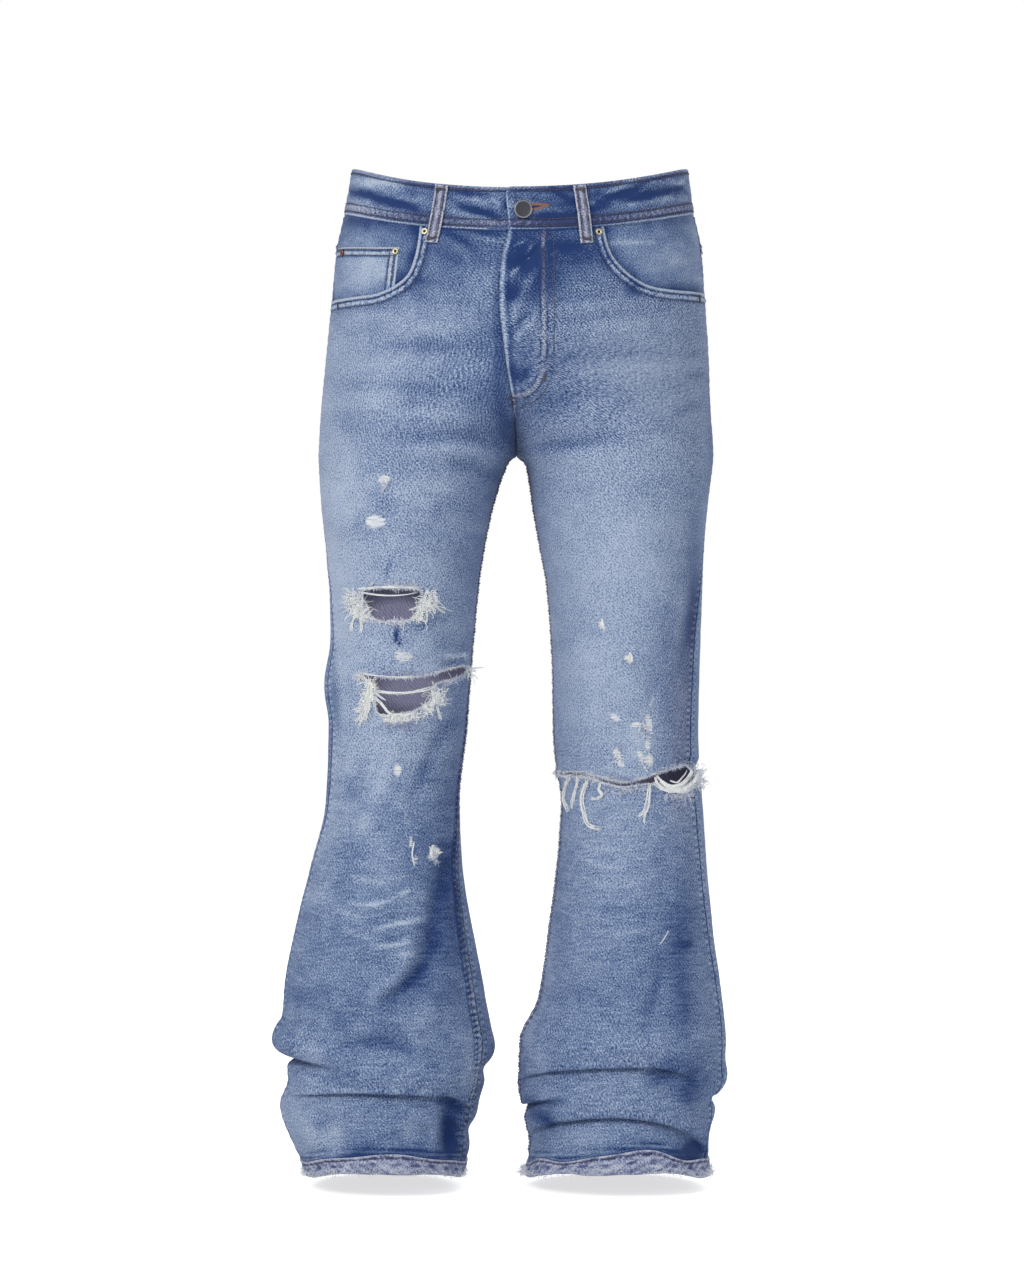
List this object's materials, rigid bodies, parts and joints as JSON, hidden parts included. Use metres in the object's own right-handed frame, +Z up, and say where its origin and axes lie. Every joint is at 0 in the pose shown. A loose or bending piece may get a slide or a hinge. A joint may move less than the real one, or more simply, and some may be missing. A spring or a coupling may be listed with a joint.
{
  "type": "ripped jeans",
  "caption": "Worn blue denim jeans held in their hollow worn shape: open waist, flared legs stacked above the hems, ripped thigh and knees, belt loops, pockets, button.",
  "frame": {"origin": "middle of the waist opening, at the height of the waistband's top edge at the side seams", "axes": "+Z up along the body, -Y to the front, +X to the wearer's left"},
  "size_m": [0.4515, 0.2481, 1.0091],
  "materials": {
    "denim": "faded indigo twill",
    "yoke_denim": "indigo twill",
    "waistband_denim": "indigo twill, creased",
    "facing_denim": "faded indigo twill",
    "hem_denim": "frayed pale twill",
    "loop_denim": "pale worn twill",
    "button_metal": "dark gunmetal",
    "copper_rivet": "copper",
    "brass_rivet": "aged brass"
  },
  "bodies": {
    "root": {"front_panel_right": "denim", "front_panel_left": "denim", "back_panel_right": "denim", "back_panel_left": "denim", "yoke_right": "yoke_denim", "yoke_left": "yoke_denim", "waistband": "waistband_denim", "fly_shield": "facing_denim", "pocket_facing_right": "facing_denim", "pocket_facing_left": "facing_denim", "coin_pocket": "facing_denim", "back_pocket_right": "denim", "back_pocket_left": "denim", "hem_right": "hem_denim", "hem_left": "hem_denim", "belt_loop_front_right": "loop_denim", "belt_loop_front_left": "loop_denim", "belt_loop_side_right": "loop_denim", "belt_loop_side_left": "loop_denim", "belt_loop_back": "loop_denim", "waist_button": "button_metal", "rivet_pocket_right": "brass_rivet", "rivet_pocket_left": "brass_rivet", "rivet_coin_inner": "brass_rivet", "rivet_coin_outer": "copper_rivet"}
  },
  "joints": []
}
